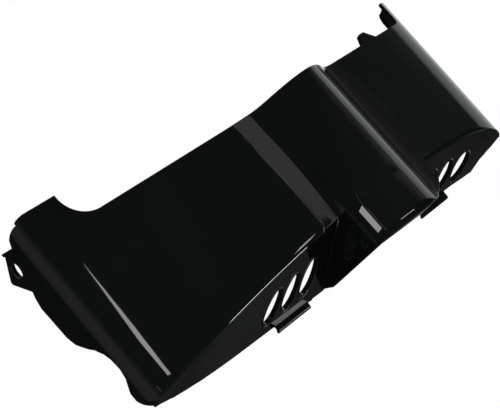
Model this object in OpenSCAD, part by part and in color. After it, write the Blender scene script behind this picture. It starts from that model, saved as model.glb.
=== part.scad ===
// Inner fairing skirt, one injection moulded gloss black shell.
// Millimetres. X runs along the skirt to the far wing, Y to the back edge, Z up.
// The sizes count from the top face of the panels, Z = 0, and from X = 0 under the hump.
// The finished part is then set with its origin on the tab hole.

/* [Shell] */
// Thickness of the moulded wall
wall = 3; // [2:0.1:4]
// Left flange outer face, measured from the hump to the long wing end
left_reach = 224; // [200:1:240]
// Right flange outer face, measured from the hump to the short wing end
right_reach = 135; // [115:1:155]
// Back edge of the panels
back_edge = 55.4; // [45:0.1:65]
// Splay of the short wing end, degrees, wider towards the back
far_splay = 1.8; // [0:0.1:5]
// Radius where the long wing turns down into its flange
left_round = 14; // [8:0.5:24]
// Radius where the short wing turns down into its flange
right_round = 34; // [16:0.5:40]
// Plan radius of the left front corner
corner_round = 13; // [6:0.5:20]
// Plan radius of the right front corner
far_corner_round = 10; // [5:0.5:16]

/* [Front walls] */
// Front crease at the hump
crease_front = 28.8; // [24:0.1:36]
// Extra forward step of the crease on the short wing
crease_step = 3.2; // [0:0.1:6]
// Linear run of the crease, forward per millimetre along the wing
crease_slope = 0.030; // [0:0.001:0.08]
// Curvature of the crease, forward per square millimetre
crease_curve = 0.000348; // [0:0.000001:0.001]
// Extra forward run of the crease past the far vents
crease_flare = 0.17; // [0:0.01:0.3]
// Radius over the crease
crease_round = 3.6; // [3.1:0.1:8]
// Forward position of the front wall foot line
foot_front = 53; // [48:0.1:60]
// Depth at which the foot line is measured
foot_depth = 60; // [40:1:80]

/* [Hump] */
// Slope of the foot facet of the long flank at the back edge
facet_back = 0.07; // [0.02:0.01:0.2]
// Slope of the foot facet of the long flank at the front crease
facet_front = 0.42; // [0.1:0.01:0.8]
// Height of the hump at the back edge
hump_back_h = 21.5; // [12:0.1:32]
// Height of the hump at the nose
hump_front_h = 16; // [10:0.1:28]
// Outer face of the left cheek
cheek_left = 43; // [36:0.5:50]
// Outer face of the right cheek
cheek_right = 43; // [36:0.5:50]
// Forward reach of the nose
nose_front = 60.8; // [56:0.1:68]
// Sweep back of the nose at its far corner
nose_sweep = 16; // [6:0.5:24]
// Where the nose starts to sweep back
nose_flat = 8; // [0:0.5:20]
// Radius over the nose
nose_round = 6; // [3.5:0.1:10]
// Lowest point of the cheek front edge
cheek_drop = 52; // [30:1:70]
// Lip depth on the left of the nose, as height above the panel
lip_left_z = 9.7; // [0:0.1:12]
// Lip depth on the right of the nose, as height above the panel
lip_right_z = -18; // [-24:0.1:6]

/* [Vents] */
// Distance of the middle vent from the hump
vent_middle = 82.3; // [70:0.1:95]
// Pitch of the vents
vent_pitch = 17.6; // [14:0.1:22]
// Width of one vent
vent_width = 14.2; // [10:0.1:16]
// Length of one vent
vent_length = 32.5; // [24:0.5:42]
// Height of the vent centres
vent_z = -36.6; // [-45:0.1:-28]
// Lean of the vents towards the hump, degrees
vent_lean = 5.6; // [0:0.1:15]

/* [Ears and flanges] */
// Back reach of the ears
ear_back = 77.5; // [66:0.5:84]
// Inner corner of the left ear
ear_left_in = 186.5; // [176:0.5:196]
// Inner edge of the right ear
ear_right_in = 119; // [100:0.5:124]
// Back reach of the right ear
far_ear_back = 78; // [66:0.5:84]
// Scoop radius beside the left ear
scoop_round = 18; // [8:0.5:24]
// Scoop radius beside the right ear
far_scoop = 6; // [2:0.5:12]
// Back reach of the small lug
lug_reach = 7.4; // [3:0.1:10]
// Depth of the deep part of the flanges
flange_depth = 26.5; // [18:0.5:34]
// Depth left in the flange relief near the front corner
relief_depth = 5.5; // [4:0.1:10]

/* [Fixings] */
// Outward height of the rib on the fixing tab
tab_offset = 2; // [1:0.1:4]
// Back to front position of the tab hole
tab_hole_y = 55.2; // [50:0.1:60]
// Height of the tab hole
tab_hole_z = -20.2; // [-26:0.1:-16]
// Diameter of the tab hole
tab_hole_d = 11; // [6:0.1:13]
// Diameter of the small flange hole
pin_hole_d = 4.4; // [3:0.1:8]
// Back to front position of the small flange hole
pin_hole_y = 27.9; // [20:0.1:36]
// Height of the small flange hole
pin_hole_z = -17.2; // [-22:0.1:-12]
// Width of the hooked clips under the vents
clip_width = 31; // [20:0.5:42]
// Inner end of the near clip, measured from the hump
clip_near_in = 59; // [50:0.5:70]
// Inner end of the far clip, measured from the hump
clip_far_in = 66; // [50:0.5:75]
// Forward reach of the clip ledge
clip_reach = 5.6; // [4:0.1:10]
// Height of the clip ledge top
clip_z = -62; // [-70:0.1:-58]
// Height of the clip ledge plate
clip_plate = 2.2; // [2:0.1:4]

/* [Hidden] */
deep = 92;
// the end radii stand this much proud and the panel face trims them, so no faces touch along a line
lift = 0.05;
levels = [-14.3, -26.6, -38.4, -50.7, -60.4, -76];
over = 20;
arc_steps = 7;
station_steps = 40;
left_steps = 24;
right_steps = 24;
$fn = 64;

function clamp01(v) = max(0, min(1, v));
function ease(v) = let (c = clamp01(v)) c * c * (3 - 2 * c);
function mix(a, b, t) = a + (b - a) * t;
function reversed(v) = [for (i = [len(v) - 1:-1:0]) v[i]];

// Crease line in plan and the lean of the front wall below it
function crease(x) = -crease_front - crease_slope * abs(x) - crease_curve * x * x
    - crease_step * ease((x + 25) / 59) - crease_flare * max(0, x - 90);
function foot(x) = foot_front + 2.5 * ease((x - 90) / 45);
function lean(x) = max(0, (foot(x) + crease(x)) / foot_depth);
function wall_y(x, z) = crease(x) + lean(x) * z;

// Ring of the front block at one station, o is the inward offset
function front_ring(x, o) = reversed(
    let (k = lean(x), a = atan(k), r = max(0.6, crease_round - o))
    let (yw = crease(x) + o / cos(a))
    // centre of the crease radius: below the top face and behind the wall
    let (zc = -o - r, yc = yw + k * zc + r / cos(a))
    concat(
        [[x, back_edge + over + o * 4, -o]],
        [for (i = [0:arc_steps])
            let (t = 90 + i / arc_steps * (90 - a))
            [x, yc + r * cos(t), zc + r * sin(t)]],
        [for (z = levels) [x, yw + k * z, z]],
        [[x, yw - k * deep, -deep]],
        [[x, back_edge + over + o * 4, -deep]]));

module skin(rings) {
    n = len(rings[0]);
    m = len(rings);
    pts = [for (r = rings) for (p = r) p];
    sides = [for (j = [0:m - 2]) for (i = [0:n - 1])
        let (a = j * n + i, b = j * n + (i + 1) % n, c = (j + 1) * n + (i + 1) % n, d = (j + 1) * n + i)
        each [[a, b, d], [b, c, d]]];
    caps = [[for (i = [n - 1:-1:0]) i], [for (i = [0:n - 1]) (m - 1) * n + i]];
    polyhedron(points = pts, faces = concat(sides, caps), convexity = 8);
}

// Stations along the skirt, shared by the walls and the hump so that their faces meet exactly
function stations() = [for (i = [0:station_steps]) mix(-left_reach - over, right_reach + over, i / station_steps)];

module front_block(o) {
    skin([for (x = stations()) front_ring(x, o)]);
}

// Ends of both wings: each turns down over a long radius
module near_end(o) {
    r = left_round - o;
    rotate([90, 0, 0]) translate([0, 0, -130]) linear_extrude(260) {
        difference() {
            translate([-left_reach + o, -deep - over]) square([left_reach + right_reach + over, deep + over + 40]);
            translate([-left_reach + o - 1, lift - left_round]) square([r + 1, left_round + 50]);
        }
        translate([-left_reach + left_round, lift - left_round]) circle(r, $fn = 96);
    }
}

module far_end(o) {
    r = right_round - o;
    // the splay pivots about the front corner
    translate([right_reach, -foot_front, 0]) rotate([0, 0, -far_splay]) translate([-right_reach, foot_front, 0])
        rotate([90, 0, 0]) translate([0, 0, -150]) linear_extrude(290) {
            difference() {
                translate([-left_reach - over, -deep - over]) square([left_reach + over + right_reach - o, deep + over + 40]);
                translate([right_reach - right_round, lift - right_round]) square([r + 1, right_round + 50]);
            }
            translate([right_reach - right_round, lift - right_round]) circle(r, $fn = 144);
        }
}

// Plan of the two rounded front corners
module corner_plan(o) {
    yl = wall_y(-left_reach, -10) + 0.4;
    yr = wall_y(right_reach, -30) + 0.2;
    translate([0, 0, -deep]) linear_extrude(deep + 40) {
        difference() {
            translate([-left_reach + o, -90]) square([left_reach + right_reach + over, 240]);
            translate([-left_reach - 1, -100]) square([corner_round + 1, 100 + yl + corner_round]);
            translate([right_reach - far_corner_round, -100]) square([far_corner_round + over + 1, 100 + yr + far_corner_round]);
        }
        translate([-left_reach + corner_round, yl + corner_round]) circle(corner_round - o);
        translate([right_reach - far_corner_round, yr + far_corner_round]) circle(far_corner_round - o);
    }
}

module wings(o) {
    intersection() {
        front_block(o);
        near_end(o);
        far_end(o);
        corner_plan(o);
    }
}

// Hump section: left flank, flat top, right flank. t runs 0 at the back edge to 1 at the crease
function foot_l(t) = mix(-62, -57, t);
function foot_r(t) = mix(41, 41, t);
function top_l(t) = mix(-1, -33, t);
function top_r(t) = mix(3, 6, t);
function hump_h(t) = mix(hump_back_h, hump_front_h, t);
function band_l(t) = mix(-45.5, -49, t);
// rise of a flank from foot to top: it curves up from its foot, then rounds off in a shoulder
function flank(v, v1, h1, q) = v < v1 ? h1 * pow(v / v1, 2) : 1 - (1 - h1) * pow((1 - v) / (1 - v1), q);
// the long flank starts with a flat facet that rises gently from its crease
function facet_rise(t) = (band_l(t) - foot_l(t)) * mix(facet_back, facet_front, t);
function hump_pts(t) = concat(
    [for (i = [0:2]) [mix(foot_l(t), band_l(t), i / 3), facet_rise(t) * i / 3]],
    [for (i = [0:left_steps]) let (v = i / left_steps)
        [mix(band_l(t), top_l(t), v),
            facet_rise(t) + (hump_h(t) - facet_rise(t)) * flank(v, mix(0.35, 0.3, t), mix(0.30, 0.28, t), mix(1.6, 1.8, t))]],
    [for (i = [right_steps:-1:0]) let (v = i / right_steps)
        [mix(foot_r(t), top_r(t), v), hump_h(t) * flank(v, 0.36, 0.24, mix(1.55, 1.7, t))]]);
// the feet run on below the panel so that they cross it at an angle
function run_on(p) = let (n = len(p) - 1, a = p[0] - p[1], b = p[n] - p[n - 1])
    concat([p[0] + a * 1.5 / norm(a)], p, [p[n] + b * 1.5 / norm(b)]);

function hump_ring(y, t, o) =
    let (p = run_on(hump_pts(t)), n = len(p) - 1)
    let (q = [for (i = [0:n])
        let (d = p[min(n, i + 1)] - p[max(0, i - 1)], k = o / norm(d))
        [p[i][0] + d[1] * k, y, p[i][1] - d[0] * k]])
    concat(q, [[q[n][0], y, -deep], [q[0][0], y, -deep]]);

module hump_loft(o) {
    y0 = back_edge + over + o;
    y1 = -nose_front - 6;
    y_turn = crease(-50) - 0.7;
    ys = concat([for (i = [0:12]) mix(y0, y_turn, i / 12)], [y1]);
    skin([for (y = ys) hump_ring(y, clamp01((back_edge - y) / (back_edge - y_turn)), o)]);
}

// Block behind the front walls with no top, used to hold back the hump feet
module behind_walls(o) {
    skin([for (x = stations())
        let (k = lean(x), a = atan(k), yw = crease(x) + o / cos(a))
        reversed([
            [x, back_edge + over + o * 4, 50],
            [x, yw, 50],
            [x, yw, -o],
            each [for (z = levels) [x, yw + k * z, z]],
            [x, yw - k * deep, -deep],
            [x, back_edge + over + o * 4, -deep]])]);
}

// Neck box between the cheeks, rounded over the nose and swept back at its far corner
function nose_y(x) = -nose_front + nose_sweep * (1 - sqrt(1 - pow(clamp01((x - nose_flat) / (cheek_right - nose_flat + 1)), 2)));

module neck_box(o) {
    r = nose_round - o;
    top = hump_front_h - o + 0.03;
    x0 = -cheek_left + o;
    x1 = cheek_right - o;
    steps = 20;
    skin([for (i = [0:steps]) let (x = mix(x0, x1, i / steps), y = nose_y(x) + o)
        concat(
            [[x, 150, -deep], [x, y, -deep]],
            [for (j = [0:arc_steps]) let (t = 180 - 90 * j / arc_steps)
                [x, y + r + r * cos(t), top - r + r * sin(t)]],
            [[x, 150, top]])]);
}

module hump(o) {
    intersection() {
        hump_loft(o);
        union() {
            behind_walls(o);
            neck_box(o);
        }
    }
}

module envelope(o) {
    wings(o);
    hump(o);
}

// Everything behind the back outline: scoops and ears
module back_cut() {
    r = scoop_round;
    q = far_scoop;
    translate([0, 0, -deep - 5]) linear_extrude(deep + 60) difference() {
        union() {
            translate([-ear_left_in, back_edge]) square([ear_left_in + ear_right_in, 60]);
            translate([-left_reach - 10, ear_back]) square([left_reach, 60]);
            translate([0, far_ear_back]) square([right_reach + 10, 60]);
            polygon([
                [-left_reach - 1, ear_back - 5.4],
                [-left_reach + 5, ear_back - 4],
                [-left_reach + 11, ear_back - 2.6],
                [-left_reach + 24, ear_back - 0.6],
                [-ear_left_in - 6, ear_back],
                [-ear_left_in - 6, ear_back + 9],
                [-left_reach - 1, ear_back + 9]]);
        }
        // concave scoop corners beside the ears
        difference() {
            translate([-ear_left_in, back_edge - 1]) square([r, r + 1]);
            translate([-ear_left_in + r, back_edge + r]) circle(r);
        }
        difference() {
            translate([ear_right_in - q, back_edge - 1]) square([q, q + 1]);
            translate([ear_right_in - q, back_edge + q]) circle(q);
        }
        lug_plan();
    }
}

// Small locating lug standing behind the back edge of the short wing
module lug_plan() {
    polygon([[74, back_edge - 2], [78.5, back_edge + lug_reach], [83, back_edge + lug_reach], [91, back_edge - 2]]);
}

// Bottom line of the front walls, seen from the front
module front_bottom_cut() {
    translate([0, -25, 0]) rotate([90, 0, 0]) linear_extrude(60) polygon([
        [-left_reach - 30, -relief_depth - 3.6],
        [-left_reach + 2, -relief_depth - 4.4],
        [-left_reach + 7, -relief_depth - 6.5],
        [-left_reach + 13, -20],
        [-left_reach + 20, -27.6],
        [-left_reach + 28, -35.6],
        [-left_reach + 38, -44.3],
        [-left_reach + 50, -50.6],
        [-left_reach + 64, -55.8],
        [-left_reach + 78, -58.8],
        [-left_reach + 92, -60.6],
        [-left_reach + 110, -61.6],
        [-cheek_left - 47, -62.6],
        [-cheek_left - 16, -64.6],
        [-cheek_left, -67.5],
        [cheek_right, -67.5],
        [clip_far_in, -65.4],
        [clip_far_in + clip_width - 1, -63.5],
        [clip_far_in + clip_width - 1, -59.6],
        [right_reach - 22, -58.2],
        [right_reach - 8, -56.2],
        [right_reach - 2, -53],
        [right_reach + 1, -47],
        [right_reach + 2, -42],
        [right_reach + 30, -42],
        [right_reach + 30, -deep - 10],
        [-left_reach - 30, -deep - 10]]);
}

// Bottom line of the long wing flange with its fixing tab, seen from the end
module flange_bottom_cut() {
    translate([-left_reach - 20, 0, 0]) rotate([90, 0, 90]) linear_extrude(29) polygon([
        [110, 2],
        [73, 2],
        [72, -2.6],
        [70.6, -5],
        [68.6, -7.2],
        [64.6, -9],
        [67.3, -18.2],
        [55.6, -35],
        [53.6, -35],
        [40.8, -21.6],
        [37.5, -24],
        [31, -flange_depth],
        [22, -flange_depth + 0.7],
        [9, -flange_depth + 1.5],
        [2.5, -flange_depth + 4.5],
        [-2.5, -flange_depth + 10],
        [-8, -relief_depth - 4.3],
        [-13, -relief_depth - 1.6],
        [-18, -relief_depth - 0.4],
        [-25, -relief_depth],
        [-31, -relief_depth - 0.8],
        [-35, -relief_depth - 2.6],
        [-39, -relief_depth - 4.6],
        [-44, -relief_depth - 4.6],
        [-110, -relief_depth - 4.6],
        [-110, -deep - 10],
        [110, -deep - 10]]);
    translate([-left_reach - 20, -20, -deep - 10]) cube([80, 200, deep - 28]);
}

// Bottom line of the short wing flange, seen from the end
module far_flange_cut() {
    translate([right_reach - 50, 0, 0]) rotate([90, 0, 90]) linear_extrude(80) polygon([
        [110, -14],
        [80, -14],
        [80, -17],
        [77.4, -17.4],
        [76.4, -19],
        [76.9, -24],
        [76.2, -26.4],
        [73.6, -28.8],
        [69.5, -30],
        [60, -30],
        [0, -31],
        [-22, -38],
        [-33, -48],
        [-38, -62],
        [-38, -deep - 10],
        [110, -deep - 10]]);
}

// Open mouth between the cheeks below the lip, and the cheek outline
module mouth_cut() {
    inner_l = -cheek_left + wall;
    inner_r = cheek_right - wall;
    translate([0, -40, 0]) rotate([90, 0, 0]) linear_extrude(60) polygon([
        [inner_l, lip_left_z],
        [inner_r, lip_right_z],
        [inner_r, -deep - 10],
        [inner_l, -deep - 10]]);
    // cheek front edge and lower corner, seen from the side
    translate([-cheek_left - 10, 0, 0]) rotate([90, 0, 90]) linear_extrude(cheek_left + cheek_right + 20)
        polygon([
            [-nose_front - 10, lip_left_z + 1],
            [-nose_front, lip_left_z + 1],
            [-nose_front + 2.6, -cheek_drop],
            [-foot_front - 1.5, -cheek_drop - 9],
            [-foot_front - 1.5, -deep - 10],
            [-nose_front - 10, -deep - 10]]);
}

module vent(x, s) {
    n = 32;
    translate([x, -20, vent_z]) rotate([90, 0, 0]) rotate(-s * vent_lean) linear_extrude(60)
        polygon([for (i = [0:n - 1]) let (a = 360 * i / n)
            [vent_width / 2 * cos(a), vent_length / 2 * sin(a)]]);
}

module vents() {
    for (s = [-1, 1], k = [-1, 0, 1])
        vent(s * (vent_middle + k * vent_pitch), -s);
}

// Stiffening rib on the outside of the fixing tab back edge
module tab_rib() {
    translate([-left_reach - tab_offset, 0, 0]) rotate([90, 0, 90]) linear_extrude(tab_offset + wall) polygon([
        [64.6, -9.4],
        [67.3, -18.2],
        [65, -17.8],
        [62.6, -9.6]]);
}

// Locating lug, one step below the panel face
module lug() {
    translate([0, 0, -wall - 1]) linear_extrude(wall) lug_plan();
}

// Hooked clip: a ledge forward of the wall foot with a small return
module clip(x_in) {
    y0 = -foot_front;
    translate([x_in, 0, 0]) rotate([90, 0, 90]) linear_extrude(clip_width) polygon([
        [y0 + 3.2, -60.5],
        [y0 + 0.8, -60.5],
        [y0 + 0.2, clip_z],
        [y0 - clip_reach + 1, clip_z - 0.4],
        [y0 - clip_reach, clip_z - 1.2],
        [y0 - clip_reach, clip_z - clip_plate - 1.4],
        [y0 - clip_reach + 1.8, clip_z - clip_plate - 1.4],
        [y0 - clip_reach + 2.4, clip_z - clip_plate],
        [y0 + 1.4, clip_z - clip_plate],
        [y0 + 3.2, -64]]);
}

module skirt() {
    // the row frame has its origin at the centre of the tab hole, on the outer face
    color([0.03, 0.03, 0.035]) translate([left_reach, -tab_hole_y, -tab_hole_z]) difference() {
        union() {
            difference() {
                envelope(0);
                envelope(wall);
                back_cut();
                front_bottom_cut();
                flange_bottom_cut();
                far_flange_cut();
                mouth_cut();
                vents();
            }
            clip(-clip_near_in - clip_width);
            clip(clip_far_in);
            tab_rib();
            lug();
        }
        translate([-left_reach - 5, tab_hole_y, tab_hole_z]) rotate([0, 90, 0])
            cylinder(h = 5 + wall + 1, d = tab_hole_d);
        translate([-left_reach - 5, pin_hole_y, pin_hole_z]) rotate([0, 90, 0])
            cylinder(h = 5 + wall + 1, d = pin_hole_d);
    }
}

skirt();
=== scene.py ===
"""Inner fairing skirt: the gloss black moulded shell, its vent lips and a plain product studio.

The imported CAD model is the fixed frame. Lengths are metres in the row frame, whose origin is
the centre of the fixing tab hole on the outer face of the long wing's flange.
"""

import logging
import math
from dataclasses import dataclass, field
from enum import Enum
from typing import Any, Sequence

import bpy
from mathutils import Matrix, Vector


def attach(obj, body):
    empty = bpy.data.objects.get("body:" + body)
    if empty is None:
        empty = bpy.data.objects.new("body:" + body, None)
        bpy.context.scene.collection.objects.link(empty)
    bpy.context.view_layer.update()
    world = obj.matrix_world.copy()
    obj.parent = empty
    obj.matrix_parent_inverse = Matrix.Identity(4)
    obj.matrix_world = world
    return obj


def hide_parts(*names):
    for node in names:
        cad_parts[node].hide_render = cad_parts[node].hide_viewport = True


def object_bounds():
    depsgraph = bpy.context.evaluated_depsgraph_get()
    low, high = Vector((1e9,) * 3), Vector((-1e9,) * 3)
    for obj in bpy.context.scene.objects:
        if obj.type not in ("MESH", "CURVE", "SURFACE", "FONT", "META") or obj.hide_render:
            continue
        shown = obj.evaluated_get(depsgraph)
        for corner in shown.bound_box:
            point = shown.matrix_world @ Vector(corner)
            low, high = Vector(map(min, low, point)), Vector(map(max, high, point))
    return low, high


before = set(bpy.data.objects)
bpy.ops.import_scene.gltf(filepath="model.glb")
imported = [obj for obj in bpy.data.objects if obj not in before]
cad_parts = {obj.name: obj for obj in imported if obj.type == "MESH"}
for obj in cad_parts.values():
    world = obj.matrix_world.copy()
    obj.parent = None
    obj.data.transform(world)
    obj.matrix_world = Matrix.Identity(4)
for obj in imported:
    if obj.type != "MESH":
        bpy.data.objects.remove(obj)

LOG = logging.getLogger("skirt")
CAD_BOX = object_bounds()
# the design origin lies under the hump on the panel face, and this is its place in the row frame
ORIGIN = Vector((0.224, -0.0552, 0.0202))
BODY = "root"
# heights of the light cards over the panel face, mm
OVERHEAD = 700.0
FAR = 8000.0


class Wing(Enum):
    """The two flat wings, each with the sign of its side along X."""

    LONG = -1
    SHORT = 1


def srgb(hex_code: str) -> tuple[float, float, float, float]:
    """Turns an sRGB hex colour to linear.

    Args:
        hex_code: six hex digits.

    Returns:
        Linear red, green, blue and an alpha of 1.
    """
    parts = [int(hex_code[i : i + 2], 16) / 255 for i in (0, 2, 4)]
    lin = [c / 12.92 if c <= 0.04045 else ((c + 0.055) / 1.055) ** 2.4 for c in parts]
    return (lin[0], lin[1], lin[2], 1.0)


def grey(level: float) -> tuple[float, float, float, float]:
    """Gives a linear grey with an alpha of 1."""
    return (level, level, level, 1.0)


def add_node(tree: Any, kind: str, settings: dict[str, Any] | None = None, **inputs: Any) -> Any:
    """Adds one node with its settings, values and links.

    Args:
        tree: the node tree.
        kind: the node's type name.
        settings: attributes of the node, such as operation.
        **inputs: socket names, underscores for spaces, to a value or to an output to link.
            A name such as i2 means the input at that index.

    Returns:
        The new node.
    """
    node = tree.nodes.new(kind)
    for key, value in (settings or {}).items():
        setattr(node, key, value)
    for key, value in inputs.items():
        index = int(key[1:]) if key[0] == "i" and key[1:].isdigit() else None
        socket = node.inputs[index] if index is not None else node.inputs[key.replace("_", " ")]
        if isinstance(value, bpy.types.NodeSocket):
            tree.links.new(value, socket)
        else:
            socket.default_value = value
    return node


def empty_tree(owner: Any) -> Any:
    """Turns on the nodes of a material or world and gives its emptied tree."""
    owner.use_nodes = True
    owner.node_tree.nodes.clear()
    return owner.node_tree


def link(name: str, data: Any) -> Any:
    """Makes an object of some data and links it to the scene."""
    made = bpy.data.objects.new(name, data)
    bpy.context.scene.collection.objects.link(made)
    return made


def new_mesh(name: str, points: Sequence[Sequence[float]], faces: Sequence[Sequence[int]]) -> Any:
    """Makes a mesh object at the origin.

    Args:
        name: object name.
        points: corner positions.
        faces: corner indices of each face.

    Returns:
        The linked object.
    """
    mesh = bpy.data.meshes.new(name)
    mesh.from_pydata([tuple(p) for p in points], [], [tuple(f) for f in faces])
    mesh.update()
    return link(name, mesh)


def bake(source: Any, name: str) -> Any:
    """Turns an object with live modifiers to a plain mesh object.

    Args:
        source: the object to evaluate, which is removed.
        name: name of the result.

    Returns:
        A new linked object at the origin.
    """
    bpy.context.view_layer.update()
    graph = bpy.context.evaluated_depsgraph_get()
    mesh = bpy.data.meshes.new_from_object(source.evaluated_get(graph))
    mesh.name = name
    bpy.data.objects.remove(source)
    return link(name, mesh)


def socket_id(tree: Any, name: str) -> str:
    """Gives the identifier of a named input of a Geometry Nodes tree."""
    return next(i.identifier for i in tree.interface.items_tree if i.name == name and i.in_out == "INPUT")


@dataclass(frozen=True)
class MouldedGlossABS:
    """Gloss black ABS straight from a polished mould.

    The mould's mirror polish gives the sharp reflections. A faint flow ripple, a few
    millimetres across, bends them a little, and handling haze softens them in patches.
    """

    name: str = "ABS_gloss_black_moulded"
    colour: str = "090c0a"
    haze_colour: str = "0f1311"
    ior: float = 1.5
    roughness: float = 0.006
    haze: float = 0.01
    haze_patch_mm: float = 60.0
    ripple_mm: float = 9.0
    ripple_depth_mm: float = 0.1
    ripple_strength: float = 0.01
    grain_mm: float = 0.6
    grain_roughness: float = 0.004
    edge_mm: float = 0.6

    def roughness_of(self, tree: Any, place: Any, haze: Any) -> Any:
        """Adds the nodes for the roughness.

        Args:
            tree: the material's tree.
            place: the output with the place on the piece.
            haze: the output with the haze pattern.

        Returns:
            The output with the roughness.
        """
        # finest polish marks, drawn at about ten times their real width so that they show
        grain = add_node(
            tree, "ShaderNodeTexNoise", Vector=place, Scale=1000 / self.grain_mm, Detail=2.0
        )
        rough = add_node(
            tree,
            "ShaderNodeMapRange",
            Value=haze,
            From_Min=0.3,
            From_Max=0.8,
            To_Min=self.roughness,
            To_Max=self.roughness + self.haze,
        )
        return add_node(
            tree,
            "ShaderNodeMath",
            {"operation": "MULTIPLY_ADD"},
            i0=grain.outputs["Fac"],
            i1=self.grain_roughness,
            i2=rough.outputs[0],
        ).outputs[0]

    def normal_of(self, tree: Any, place: Any) -> Any:
        """Adds the nodes for the surface direction.

        Args:
            tree: the material's tree.
            place: the output with the place on the piece.

        Returns:
            The output with the direction.
        """
        # flow ripple of the moulded skin
        ripple = add_node(
            tree, "ShaderNodeTexNoise", Vector=place, Scale=1000 / self.ripple_mm, Detail=1.0
        )
        # the mould's edges are not sharp: about half a millimetre of radius catches the light
        edge = add_node(tree, "ShaderNodeBevel", {"samples": 6}, Radius=self.edge_mm / 1000)
        bump = add_node(
            tree,
            "ShaderNodeBump",
            Strength=self.ripple_strength,
            Distance=self.ripple_depth_mm / 1000,
            Height=ripple.outputs["Fac"],
            Normal=edge.outputs["Normal"],
        )
        return bump.outputs["Normal"]

    def build(self) -> Any:
        """Builds the material.

        Returns:
            The node material.
        """
        mat = bpy.data.materials.new(self.name)
        tree = empty_tree(mat)
        place = add_node(tree, "ShaderNodeTexCoord").outputs["Object"]
        # haze from wiping and handling
        haze = add_node(
            tree,
            "ShaderNodeTexNoise",
            Vector=place,
            Scale=1000 / self.haze_patch_mm,
            Detail=3.0,
            Roughness=0.6,
        ).outputs["Fac"]
        tint = add_node(
            tree,
            "ShaderNodeMix",
            {"data_type": "RGBA"},
            i0=haze,
            i6=srgb(self.colour),
            i7=srgb(self.haze_colour),
        )
        skin = add_node(
            tree,
            "ShaderNodeBsdfPrincipled",
            Base_Color=tint.outputs[2],
            Roughness=self.roughness_of(tree, place, haze),
            IOR=self.ior,
            Normal=self.normal_of(tree, place),
        )
        add_node(tree, "ShaderNodeOutputMaterial", Surface=skin.outputs["BSDF"])
        return mat


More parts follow.
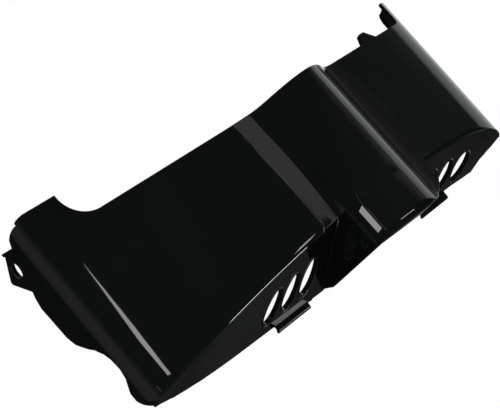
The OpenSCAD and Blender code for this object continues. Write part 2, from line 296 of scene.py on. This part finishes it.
@dataclass
class MouldedShell:
    """The one moulded shell: the CAD node with its facets smoothed, and small beads round its openings."""

    node: str = "skirt"
    merge_mm: float = 0.12
    crease_deg: float = 26.0
    vent_count: int = 3
    vent_middle_mm: float = 82.3
    vent_pitch_mm: float = 17.6
    vent_width_mm: float = 14.2
    vent_length_mm: float = 32.5
    vent_height_mm: float = -36.6
    vent_lean_deg: float = 5.6
    lip_mm: float = 0.5
    eyelet_mm: float = 0.35
    # the beads are thrown back on the front wall from this far in front of the part
    stand_off_mm: float = 50.0
    throw_mm: float = 200.0
    oval_steps: int = 64
    round_steps: int = 48
    bead_steps: int = 10
    # centre and bead circle of each round hole of the end flange
    holes: dict[str, tuple[tuple[float, float, float], float]] = field(
        default_factory=lambda: {
            "tab_hole": ((0.0, 0.0, 0.0), 5.6),
            "flange_hole": ((0.0, -27.3, 3.0), 2.3),
        }
    )

    def sizes(self) -> dict[str, float]:
        """Gives the tree's sizes, in metres and radians, by the name of their input."""
        return {
            "Merge distance": self.merge_mm / 1000,
            "Crease angle": math.radians(self.crease_deg),
            "Vent pitch": self.vent_pitch_mm / 1000,
            "Vent width": self.vent_width_mm / 1000,
            "Vent length": self.vent_length_mm / 1000,
            "Lip radius": self.lip_mm / 1000,
            "Eyelet radius": self.eyelet_mm / 1000,
        }

    def vent_row(self, group: Any, given: Any, wing: Wing) -> Any:
        """Places one point for each vent of a wing, in front of the part.

        Args:
            group: the node tree.
            given: its input node.
            wing: the wing that has the vents.

        Returns:
            The output with the points.
        """
        middle = Vector((wing.value * self.vent_middle_mm, 0.0, self.vent_height_mm)) / 1000 + ORIGIN
        middle.y = CAD_BOX[0].y - self.stand_off_mm / 1000
        step = add_node(group, "ShaderNodeCombineXYZ", X=given.outputs["Vent pitch"])
        first = add_node(
            group,
            "ShaderNodeVectorMath",
            {"operation": "SUBTRACT"},
            i0=tuple(middle),
            i1=step.outputs[0],
        )
        line = add_node(
            group,
            "GeometryNodeMeshLine",
            {"mode": "OFFSET"},
            Count=self.vent_count,
            Start_Location=first.outputs[0],
            Offset=step.outputs[0],
        )
        return line.outputs["Mesh"]

    def vent_oval(self, group: Any, given: Any, wing: Wing) -> Any:
        """Draws the oval on which a vent's bead runs, upright and leaning as the vent does.

        Args:
            group: the node tree.
            given: its input node.
            wing: the wing that has the vent.

        Returns:
            The output with the oval.
        """
        half_width, half_length = (
            add_node(
                group,
                "ShaderNodeMath",
                {"operation": "MULTIPLY_ADD"},
                i0=given.outputs[name],
                i1=0.5,
                i2=given.outputs["Lip radius"],
            ).outputs[0]
            for name in ("Vent width", "Vent length")
        )
        ring = add_node(
            group, "GeometryNodeCurvePrimitiveCircle", Resolution=self.oval_steps, Radius=1.0
        )
        oval = add_node(group, "ShaderNodeCombineXYZ", X=half_width, Y=half_length, Z=1.0)
        flat = add_node(
            group, "GeometryNodeTransform", Geometry=ring.outputs["Curve"], Scale=oval.outputs[0]
        )
        lean = -wing.value * math.radians(self.vent_lean_deg)
        upright = add_node(
            group,
            "GeometryNodeTransform",
            Geometry=flat.outputs["Geometry"],
            Rotation=(math.radians(90), lean, 0.0),
        )
        return upright.outputs["Geometry"]

    def sweep(self, group: Any, path: Any, radius: Any) -> Any:
        """Runs a small round bead along a path.

        Args:
            group: the node tree.
            path: the output with the path.
            radius: the output with the bead's radius.

        Returns:
            The output with the bead as a smooth mesh.
        """
        bead = add_node(
            group, "GeometryNodeCurvePrimitiveCircle", Resolution=self.bead_steps, Radius=radius
        )
        swept = add_node(
            group, "GeometryNodeCurveToMesh", Curve=path, Profile_Curve=bead.outputs["Curve"]
        )
        smooth = add_node(group, "GeometryNodeSetShadeSmooth", Geometry=swept.outputs["Mesh"])
        return smooth.outputs[0]

    def lips(self, group: Any, given: Any, target: Any, wing: Wing) -> Any:
        """Rolls a small bead round each vent of one wing, laid on the leaning front wall.

        Args:
            group: the node tree.
            given: its input node.
            target: the output with the mesh that the beads lie on.
            wing: the wing that has the vents.

        Returns:
            The output with the beads as a mesh.
        """
        placed = add_node(
            group,
            "GeometryNodeInstanceOnPoints",
            Points=self.vent_row(group, given, wing),
            Instance=self.vent_oval(group, given, wing),
        )
        loose = add_node(group, "GeometryNodeRealizeInstances", Geometry=placed.outputs["Instances"])
        hit = add_node(
            group,
            "GeometryNodeRaycast",
            Target_Geometry=target,
            Ray_Direction=(0.0, 1.0, 0.0),
            Ray_Length=self.throw_mm / 1000,
        )
        laid = add_node(
            group,
            "GeometryNodeSetPosition",
            Geometry=loose.outputs["Geometry"],
            Position=hit.outputs["Hit Position"],
        )
        return self.sweep(group, laid.outputs["Geometry"], given.outputs["Lip radius"])

    def eyelet(self, group: Any, given: Any, hole: str) -> Any:
        """Rolls a small bead round one round hole of the end flange.

        Args:
            group: the node tree.
            given: its input node.
            hole: the hole's name in the holes field.

        Returns:
            The output with the bead as a mesh.
        """
        centre, radius = self.holes[hole]
        ring = add_node(
            group,
            "GeometryNodeCurvePrimitiveCircle",
            Resolution=self.round_steps,
            Radius=radius / 1000,
        )
        upright = add_node(
            group,
            "GeometryNodeTransform",
            Geometry=ring.outputs["Curve"],
            Translation=tuple(v / 1000 for v in centre),
            Rotation=(0.0, math.radians(90), 0.0),
        )
        return self.sweep(group, upright.outputs["Geometry"], given.outputs["Eyelet radius"])

    def smooth(self, group: Any, given: Any, welded: Any) -> Any:
        """Smooths the shell except at its true creases.

        Args:
            group: the node tree.
            given: its input node.
            welded: the output with the welded mesh.

        Returns:
            The output with the smooth mesh.
        """
        angle = add_node(group, "GeometryNodeInputMeshEdgeAngle")
        soft = add_node(
            group,
            "FunctionNodeCompare",
            {"data_type": "FLOAT", "operation": "LESS_EQUAL"},
            i0=angle.outputs["Unsigned Angle"],
            i1=given.outputs["Crease angle"],
        )
        faces = add_node(group, "GeometryNodeSetShadeSmooth", {"domain": "FACE"}, Geometry=welded)
        edges = add_node(
            group,
            "GeometryNodeSetShadeSmooth",
            {"domain": "EDGE"},
            Geometry=faces.outputs["Geometry"],
            Shade_Smooth=soft.outputs["Result"],
        )
        return edges.outputs[0]

    def tree(self, finish: Any) -> Any:
        """Builds the Geometry Nodes tree that welds, smooths and dresses the shell.

        Args:
            finish: the material.

        Returns:
            The node group.
        """
        group = bpy.data.node_groups.new("shell_skin", "GeometryNodeTree")
        face = group.interface
        face.new_socket("Geometry", in_out="INPUT", socket_type="NodeSocketGeometry")
        for name in self.sizes():
            face.new_socket(name, in_out="INPUT", socket_type="NodeSocketFloat")
        face.new_socket("Geometry", in_out="OUTPUT", socket_type="NodeSocketGeometry")
        given = add_node(group, "NodeGroupInput")
        weld = add_node(
            group,
            "GeometryNodeMergeByDistance",
            Geometry=given.outputs["Geometry"],
            Distance=given.outputs["Merge distance"],
        ).outputs["Geometry"]
        whole = add_node(group, "GeometryNodeJoinGeometry")
        parts = [self.lips(group, given, weld, wing) for wing in (Wing.SHORT, Wing.LONG)]
        parts += [self.eyelet(group, given, hole) for hole in self.holes]
        parts.append(self.smooth(group, given, weld))
        for part in parts:
            group.links.new(part, whole.inputs["Geometry"])
        real = add_node(group, "GeometryNodeRealizeInstances", Geometry=whole.outputs["Geometry"])
        dress = add_node(
            group, "GeometryNodeSetMaterial", Geometry=real.outputs["Geometry"], Material=finish
        )
        add_node(group, "NodeGroupOutput", Geometry=dress.outputs["Geometry"])
        return group

    def build(self, finish: Any) -> Any:
        """Makes the smooth shell and lets it stand for the CAD node.

        Args:
            finish: the material.

        Returns:
            The shell object.
        """
        draft = link("shell_draft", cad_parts[self.node].data.copy())
        group = self.tree(finish)
        skin = draft.modifiers.new("skin", "NODES")
        skin.node_group = group
        for name, size in self.sizes().items():
            skin[socket_id(group, name)] = size
        weigh = draft.modifiers.new("weigh", "WEIGHTED_NORMAL")
        weigh.keep_sharp = True
        weigh.mode = "FACE_AREA_WITH_ANGLE"
        shell = bake(draft, "skirt_shell")
        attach(shell, BODY)
        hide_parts(self.node)
        LOG.info("%s: %d faces", shell.name, len(shell.data.polygons))
        return shell


@dataclass
class PhotoCamera:
    """The camera at the photograph's viewing angle, for a 500 by 408 image.

    Its place is given from the design origin, and its three axes are unit directions.
    """

    place: tuple[float, float, float] = (-0.50580, -0.10625, 0.56476)
    right: tuple[float, float, float] = (0.66721, -0.65088, 0.36220)
    up: tuple[float, float, float] = (0.45834, 0.74205, 0.48917)
    back: tuple[float, float, float] = (-0.58716, -0.16037, 0.79342)
    sensor: float = 36.0
    lens: float = 85.37
    nearest: float = 0.01
    farthest: float = 50.0

    def build(self) -> Any:
        """Makes the camera and sets it as the scene's.

        Returns:
            The camera object.
        """
        data = bpy.data.cameras.new("photo_camera")
        data.sensor_width = self.sensor
        data.lens = self.lens
        data.clip_start = self.nearest
        data.clip_end = self.farthest
        cam = link("photo_camera", data)
        turn = Matrix((self.right, self.up, self.back)).transposed().to_4x4()
        cam.matrix_world = Matrix.Translation(Vector(self.place) + ORIGIN) @ turn
        bpy.context.scene.camera = cam
        LOG.info("camera at %s", tuple(round(v, 3) for v in cam.location))
        return cam


@dataclass(frozen=True)
class Card:
    """A light card: rows of corners in the design frame, in mm, each with its share of the glow.

    A share below 1 lets the room show through, so a row that ends in 0 has a soft edge.
    """

    name: str
    radiance: float
    rows: tuple[tuple[tuple[float, float, float, float], ...], ...]

    @classmethod
    def level(cls, name: str, radiance: float, height: float, *rows: Sequence[Sequence[float]]) -> "Card":
        """Gives a card that lies level.

        Args:
            name: object name.
            radiance: its light.
            height: its height over the panel face, mm.
            *rows: X and Y of each corner in mm, with a third number where its share isn't 1.

        Returns:
            The card.
        """
        corners = tuple(tuple((c[0], c[1], height, c[2] if len(c) > 2 else 1) for c in row) for row in rows)
        return cls(name, radiance, corners)

    @classmethod
    def far(cls, name: str, radiance: float, *rows: tuple[float, Sequence[Sequence[float]]]) -> "Card":
        """Gives a card so far up that its corners stand for directions.

        Args:
            name: object name.
            radiance: its light.
            *rows: run along X for each unit of height, then each corner's run along Y with its share.

        Returns:
            The card.
        """
        level_rows = [[(across * FAR, along * FAR, share) for along, share in row] for across, row in rows]
        return cls.level(name, radiance, FAR, *level_rows)

    def finish(self) -> Any:
        """Builds the card's material, which glows by the share at each corner.

        Returns:
            The node material.
        """
        mat = bpy.data.materials.new(self.name)
        tree = empty_tree(mat)
        share = add_node(tree, "ShaderNodeAttribute", {"attribute_name": "glow"}).outputs["Fac"]
        soft = add_node(
            tree, "ShaderNodeMapRange", {"interpolation_type": "SMOOTHSTEP"}, Value=share
        ).outputs[0]
        lamp = add_node(tree, "ShaderNodeEmission", Strength=self.radiance)
        clear = add_node(tree, "ShaderNodeBsdfTransparent")
        mix = add_node(
            tree, "ShaderNodeMixShader", i0=soft, i1=clear.outputs[0], i2=lamp.outputs[0]
        )
        add_node(tree, "ShaderNodeOutputMaterial", Surface=mix.outputs[0])
        return mat

    def build(self) -> Any:
        """Makes the card, which only reflections see.

        Returns:
            The card object.
        """
        wide = len(self.rows[0])
        points = [Vector(p[:3]) / 1000 + ORIGIN for row in self.rows for p in row]
        faces = [
            (r * wide + c, r * wide + c + 1, (r + 1) * wide + c + 1, (r + 1) * wide + c)
            for r in range(len(self.rows) - 1)
            for c in range(wide - 1)
        ]
        made = new_mesh(self.name, points, faces)
        share = made.data.attributes.new("glow", "FLOAT", "POINT")
        share.data.foreach_set("value", [p[3] for row in self.rows for p in row])
        made.data.materials.append(self.finish())
        made.visible_camera = False
        made.visible_shadow = False
        made.visible_diffuse = False
        return made


@dataclass(frozen=True)
class SoftPatch:
    """A round soft patch of the room's light, with its place and its widths in degrees."""

    azimuth: float
    elevation: float
    inner: float
    outer: float
    level: float

    def add(self, tree: Any, ray: Any) -> Any:
        """Adds the patch to the world's tree.

        Args:
            tree: the world's tree.
            ray: the output with the direction.

        Returns:
            The output with the patch's radiance.
        """
        across, up = math.radians(self.azimuth), math.radians(self.elevation)
        aim = (math.cos(across) * math.cos(up), math.sin(across) * math.cos(up), math.sin(up))
        dot = add_node(tree, "ShaderNodeVectorMath", {"operation": "DOT_PRODUCT"}, i0=ray, i1=aim)
        ramp = add_node(
            tree,
            "ShaderNodeMapRange",
            {"interpolation_type": "SMOOTHSTEP"},
            Value=dot.outputs["Value"],
            From_Min=math.cos(math.radians(self.outer)),
            From_Max=math.cos(math.radians(self.inner)),
            To_Min=0.0,
            To_Max=self.level,
        )
        return ramp.outputs[0]


ROOM = (
    # the big low window at the right, which lights every right hand round
    SoftPatch(6, -4, 26, 48, 0.95),
    # faint glow over the short wing
    SoftPatch(8, 30, 5, 24, 0.06),
    # light from the floor in front, which the short wing's front wall mirrors
    SoftPatch(-42, -36, 4, 26, 0.03),
    # soft glows behind and in front, which only other views see
    SoftPatch(95, 20, 8, 45, 0.5),
    SoftPatch(275, 0, 8, 38, 0.5),
)

# corners of a card run in rows, and the comments say what the card does in the photo's view
CARDS = (
    # narrow wedge on the long wing
    Card.level(
        "wedge_card",
        6.0,
        OVERHEAD,
        ((177, 206.6), (177.2, 206.5)),
        ((163.2, 33.4), (173.8, 31.5)),
    ),
    # broad band on the hump's left foot, far away so that the flat wing looks past it
    Card.far(
        "foot_card",
        0.6,
        (0.503, ((0.19, 0), (0.24, 1), (0.352, 1))),
        (0.39, ((0.16, 0), (0.20, 1), (0.31, 1))),
        (0.28, ((0.12, 0), (0.17, 1), (0.28, 1))),
        (0.17, ((0.09, 0), (0.13, 1), (0.25, 1))),
        (0.06, ((0.05, 0), (0.08, 1), (0.21, 1))),
        (-0.06, ((0.02, 0), (0.05, 1), (0.17, 1))),
        (-0.10, ((0.02, 0), (0.05, 0), (0.17, 0))),
    ),
    # the band's end at the back edge, on nearer cards that the wing beside it would mirror too
    Card.level("foot_end_card", 0.6, OVERHEAD, ((315, 255.5), (315, 330)), ((420, 255.5), (420, 330))),
    Card.level(
        "foot_notch_card",
        0.6,
        OVERHEAD,
        ((292, 210, 0), (292, 226), (292, 268)),
        ((345, 210, 0), (345, 226), (345, 268)),
    ),
    # dark flag close over the wing, which keeps those two cards off it
    Card.level(
        "edge_flag",
        0.02,
        3,
        ((-164, 24, 0), (-164, 36, 0), (-164, 58, 0)),
        ((-151, 24, 0), (-151, 36), (-151, 58)),
        ((-121, 24, 0), (-121, 36), (-121, 58)),
        ((-108, 24, 0), (-108, 36, 0), (-108, 58, 0)),
    ),
    # it hides the wedge card from the hump's foot, and is as bright as the band there
    Card.level(
        "wedge_cover",
        0.6,
        4,
        ((-55.6, 27, 0), (-55.6, 31, 0)),
        ((-54.8, 26), (-54.8, 31)),
        ((-50, 20), (-50, 31)),
        ((-44.5, 10), (-44.5, 31)),
    ),
    # dark flag that keeps the band off the long wing's rounded end
    Card.level("end_flag", 0.02, 10, ((-215.5, -44), (-199, -44)), ((-215.5, 84), (-199, 84))),
    # upright flag that keeps the window off the hump's right foot, as dark as the short wing
    Card(
        "foot_flag",
        0.09,
        (
            ((46, -60, -0.5, 1), (46, -60, 4, 1), (46, -60, 11, 0)),
            ((46, 70, -0.5, 1), (46, 70, 4, 1), (46, 70, 11, 0)),
        ),
    ),
    # dark flag that keeps the band off the hump's left shoulder
    Card.level(
        "shoulder_flag",
        0.02,
        60,
        ((1, 96), (34, 96), (64, 96, 0)),
        ((-37, -34), (-14, -34), (16, -34, 0)),
    ),
    # bright patch on the nose's left edge
    Card.level("patch_card", 6.5, 32, ((-57, -33), (-40, -33)), ((-57, -52.3), (-41, -52.3))),
    # short line on the nose
    Card(
        "tick_card",
        6.0,
        (
            ((172, -178, 199, 1), (191, -178, 199, 1)),
            ((173, -204, 178, 1), (192, -204, 178, 1)),
        ),
    ),
    # long line on the front crease, below the panels so that no upper face mirrors it
    Card.level(
        "crease_card",
        8.0,
        -30,
        ((-114, -83, 0), (-27, -83, 0)),
        ((-104, -94), (-17, -94)),
        ((-52, -154), (35, -154)),
        ((-42, -165, 0), (45, -165, 0)),
    ),
    # soft band on the long wing's rounded end
    Card.level(
        "end_card",
        0.26,
        110,
        ((-700, 150, 0), (-360, 150), (-320, 150), (-200, 150, 0)),
        ((-700, -60, 0), (-350, -60), (-310, -60), (-200, -60, 0)),
    ),
    # soft fade on the hump's top towards its right shoulder
    Card.level(
        "rim_card",
        0.5,
        OVERHEAD,
        ((630, 220, 0), (685, 220, 0.4), (715, 220, 0.4), (752, 220, 0)),
        ((624, -120, 0), (660, -120), (715, -120), (752, -120, 0)),
    ),
)


@dataclass
class Studio:
    """Plain white sweep, a dim room with soft patches of light for the gloss, and small cards."""

    floor_z: float
    floor_half: float = 6.0
    ceiling_level: float = 0.02
    room_tint: tuple[float, float, float, float] = (0.94, 1.0, 0.98, 1.0)
    # the camera sees mostly even white with a little of the part's shadow, other rays a dark floor
    evenness: float = 0.97
    paper_grey: float = 0.9
    dim_grey: float = 0.1
    patches: tuple[SoftPatch, ...] = ROOM
    cards: tuple[Card, ...] = CARDS

    def world(self) -> None:
        """Builds the world: white for the camera and for diffuse light, the dim room for the gloss."""
        world = bpy.data.worlds.new("studio")
        bpy.context.scene.world = world
        tree = empty_tree(world)
        ray = add_node(tree, "ShaderNodeTexCoord").outputs["Generated"]
        total = self.ceiling_level
        for patch in self.patches:
            glow = patch.add(tree, ray)
            total = add_node(tree, "ShaderNodeMath", {"operation": "ADD"}, i0=total, i1=glow).outputs[0]
        room = add_node(tree, "ShaderNodeBackground", Strength=total, Color=self.room_tint)
        white = add_node(tree, "ShaderNodeBackground", Strength=1.0, Color=grey(1.0))
        path = add_node(tree, "ShaderNodeLightPath")
        plain = add_node(
            tree,
            "ShaderNodeMath",
            {"operation": "MAXIMUM"},
            i0=path.outputs["Is Camera Ray"],
            i1=path.outputs["Is Diffuse Ray"],
        )
        mix = add_node(
            tree, "ShaderNodeMixShader", i0=plain.outputs[0], i1=room.outputs[0], i2=white.outputs[0]
        )
        add_node(tree, "ShaderNodeOutputWorld", Surface=mix.outputs[0])

    def floor(self) -> Any:
        """Lays the white sweep under the part.

        Returns:
            The floor object.
        """
        half = self.floor_half
        corners = [(x * half, y * half, self.floor_z) for x, y in ((-1, -1), (1, -1), (1, 1), (-1, 1))]
        floor = new_mesh("sweep", corners, [(0, 1, 2, 3)])
        mat = bpy.data.materials.new("white_sweep_paper")
        tree = empty_tree(mat)
        paper = add_node(tree, "ShaderNodeBsdfDiffuse", Color=grey(self.paper_grey))
        bright = add_node(tree, "ShaderNodeEmission", Strength=1.0)
        blend = add_node(
            tree, "ShaderNodeMixShader", i0=self.evenness, i1=paper.outputs[0], i2=bright.outputs[0]
        )
        dim = add_node(tree, "ShaderNodeBsdfDiffuse", Color=grey(self.dim_grey))
        seen = add_node(tree, "ShaderNodeLightPath").outputs["Is Camera Ray"]
        mix = add_node(
            tree, "ShaderNodeMixShader", i0=seen, i1=dim.outputs[0], i2=blend.outputs[0]
        )
        add_node(tree, "ShaderNodeOutputMaterial", Surface=mix.outputs[0])
        floor.data.materials.append(mat)
        floor.visible_glossy = False
        return floor

    def build(self) -> None:
        """Builds the world, the floor and the cards."""
        self.world()
        self.floor()
        for card in self.cards:
            card.build()
        LOG.info("studio with %d cards", len(self.cards))


def main() -> None:
    """Builds the shell, the studio and the camera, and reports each."""
    bpy.context.scene.view_settings.view_transform = "Standard"
    MouldedShell().build(MouldedGlossABS().build())
    # half a millimetre of air, so that no face of the part lies in the floor
    Studio(floor_z=CAD_BOX[0].z - 0.0005).build()
    PhotoCamera().build()


if __name__ == "__main__":
    logging.basicConfig(level=logging.INFO, format="%(name)s %(message)s")
    main()
